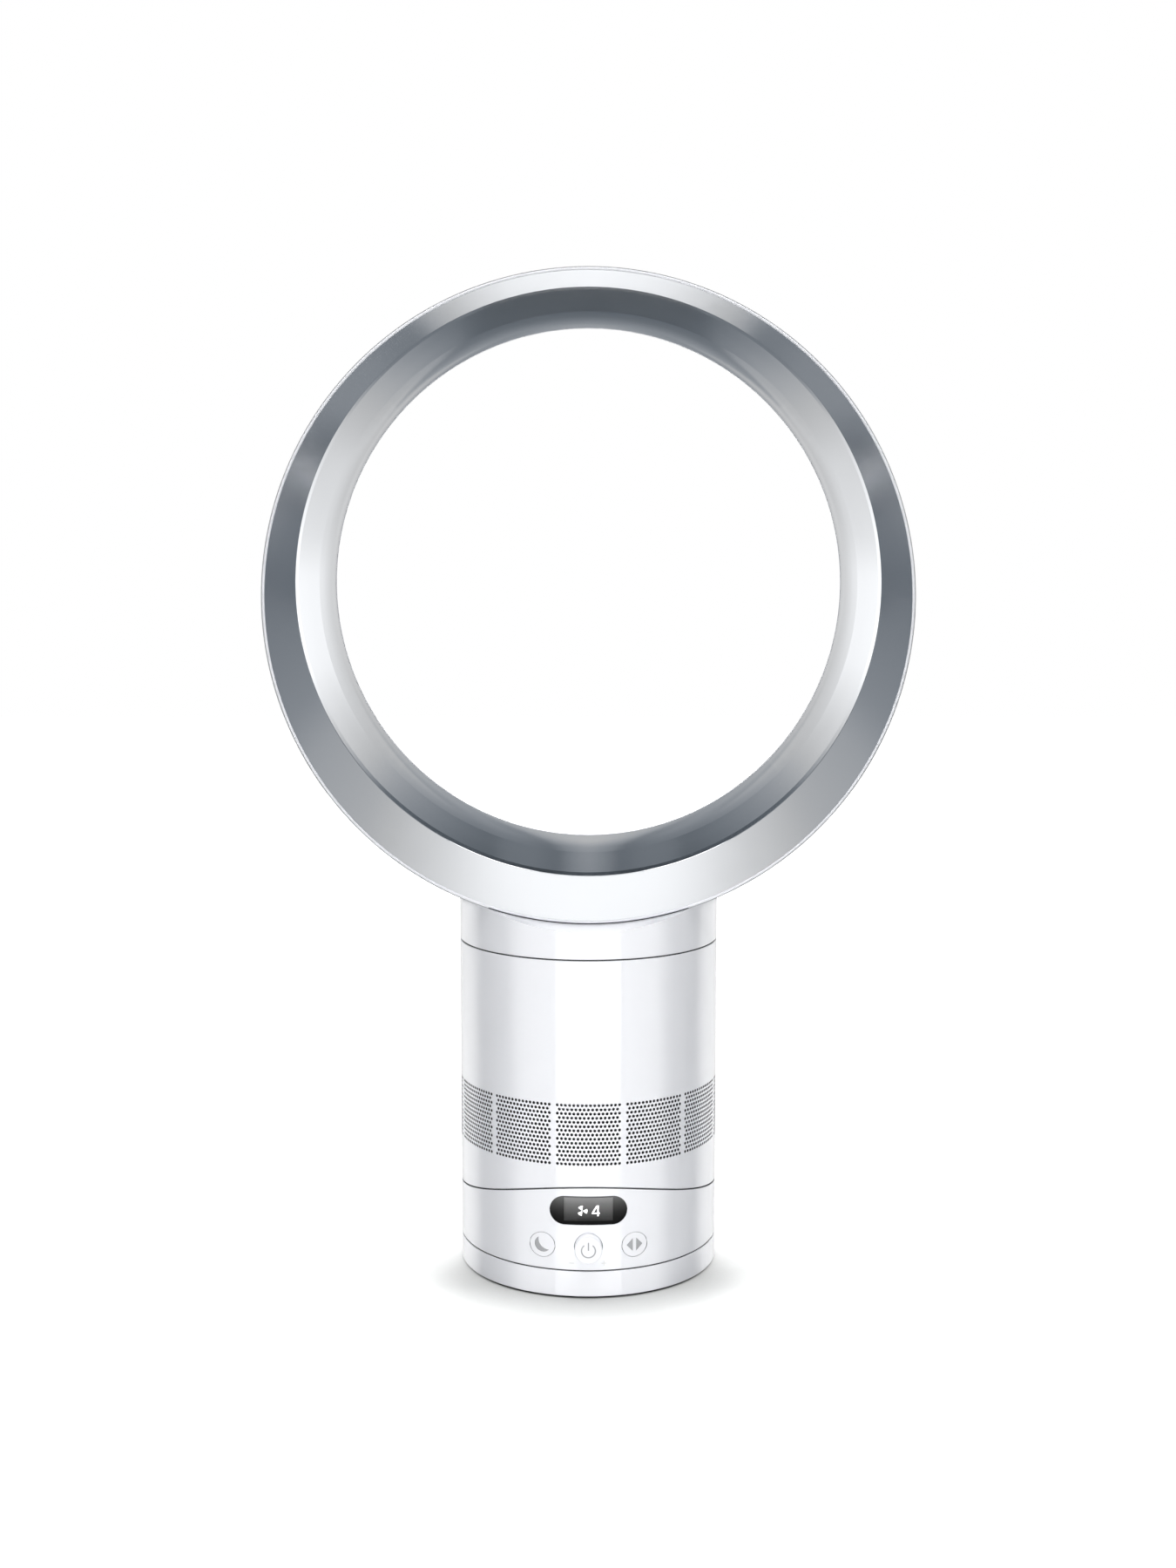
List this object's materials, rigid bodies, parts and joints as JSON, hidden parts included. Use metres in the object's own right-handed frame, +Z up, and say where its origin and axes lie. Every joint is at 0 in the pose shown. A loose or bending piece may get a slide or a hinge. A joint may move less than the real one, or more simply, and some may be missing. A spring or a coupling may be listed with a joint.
{
  "type": "bladeless desk fan",
  "caption": "Bladeless desk fan: open air ring on a short perforated pedestal that tilts and swings, with a display window, push buttons and a push-and-turn power knob.",
  "frame": {"origin": "on the floor under the pedestal's axis", "axes": "+Z up along the pedestal, the fan blows towards -Y, +X to the right seen from the front"},
  "size_m": [0.349, 0.154, 0.5505],
  "materials": {
    "white_gloss": "glossy white moulded plastic",
    "silver_paint": "satin silver metallic lacquer over moulded plastic",
    "button_white": "glossy white moulded plastic with a printed symbol",
    "window_black": "glossy black tinted window",
    "screen_glass": "dark display glass",
    "grey_plastic": "grey moulded plastic",
    "dark_plastic": "black moulded plastic",
    "acetal": "natural acetal, low friction",
    "rubber": "soft black rubber",
    "steel": "zinc plated steel",
    "bearing_steel": "ground bearing steel",
    "laminated_steel": "laminated electrical steel",
    "magnet": "sintered magnet",
    "board_green": "green circuit board"
  },
  "bodies": {
    "base": {"lower_base": "white_gloss", "base_plate": "grey_plastic", "foot_ring": "rubber", "base_screws": "steel", "cable_gland": "dark_plastic", "thrust_ring": "acetal", "fixed_gear": "acetal", "gear_clip": "steel"},
    "control": {"control_housing": "white_gloss", "turntable": "grey_plastic", "swivel_bush": "acetal", "turntable_screws": "steel", "swing_motor": "steel", "swing_motor_screws": "steel", "display_window": "window_black", "display_panel": "screen_glass", "display_holder": "dark_plastic", "control_board": "board_green", "tact_switches": "dark_plastic", "encoder_body": "dark_plastic", "tilt_guide": "acetal", "guide_screws": "steel", "tilt_glides": "acetal"},
    "pinion": {"drive_pinion": "acetal"},
    "sleep": {"sleep_button": "button_white"},
    "swing": {"swing_button": "button_white"},
    "dial": {"dial_shaft": "steel"},
    "knob": {"power_knob": "button_white"},
    "tower": {"tower_casing": "white_gloss", "tower_floor": "grey_plastic", "floor_screws": "steel", "motor_board": "board_green", "impeller_housing": "dark_plastic", "housing_seal": "rubber", "motor_bucket": "dark_plastic", "bucket_cap": "dark_plastic", "lower_bearing": "bearing_steel", "upper_bearing": "bearing_steel", "motor_stator": "laminated_steel", "diffuser_vanes": "dark_plastic", "bayonet_ring": "dark_plastic", "duct_gasket": "rubber"},
    "rotor": {"impeller": "dark_plastic", "motor_shaft": "bearing_steel", "rotor_magnet": "magnet"},
    "loop": {"ring_collar": "white_gloss", "ring_outer_casing": "white_gloss", "ring_inner_casing": "silver_paint"}
  },
  "joints": [
    {"name": "swing_turn", "type": "hinge", "parent": "base", "child": "control", "pos_m": [0, 0, 0.0154], "axis": [0, 0, 1], "range_deg": [-35, 35]},
    {"name": "pinion_turn", "type": "hinge", "parent": "control", "child": "pinion", "pos_m": [0, 0.028, 0.023], "axis": [0, 0, 1], "range_deg": [-110, 110]},
    {"name": "sleep_press", "type": "slide", "parent": "control", "child": "sleep", "axis": [0, 1, 0], "range_m": [0, 0.0008], "stiffness_N_per_m": 600},
    {"name": "swing_press", "type": "slide", "parent": "control", "child": "swing", "axis": [0, 1, 0], "range_m": [0, 0.0008], "stiffness_N_per_m": 600},
    {"name": "dial_turn", "type": "hinge", "parent": "control", "child": "dial", "pos_m": [0, -0.07, 0.0289], "axis": [0, -1, 0], "range_deg": [-30, 30], "stiffness_Nm_per_rad": 0.02},
    {"name": "knob_press", "type": "slide", "parent": "dial", "child": "knob", "axis": [0, 1, 0], "range_m": [0, 0.0012], "stiffness_N_per_m": 600},
    {"name": "tower_tilt", "type": "hinge", "parent": "control", "child": "tower", "pos_m": [0, 0, 0.22467], "axis": [1, 0, 0], "range_deg": [-10, 10]},
    {"name": "rotor_spin", "type": "hinge", "parent": "tower", "child": "rotor", "pos_m": [0, 0, 0.14], "axis": [0, 0, 1], "continuous": true},
    {"name": "loop_twist", "type": "hinge", "parent": "tower", "child": "loop", "pos_m": [0, 0, 0.18], "axis": [0, 0, 1], "range_deg": [-15, 0]}
  ],
  "couplings": [
    {"joint": "pinion_turn", "follows": "swing_turn", "ratio": 3}
  ]
}
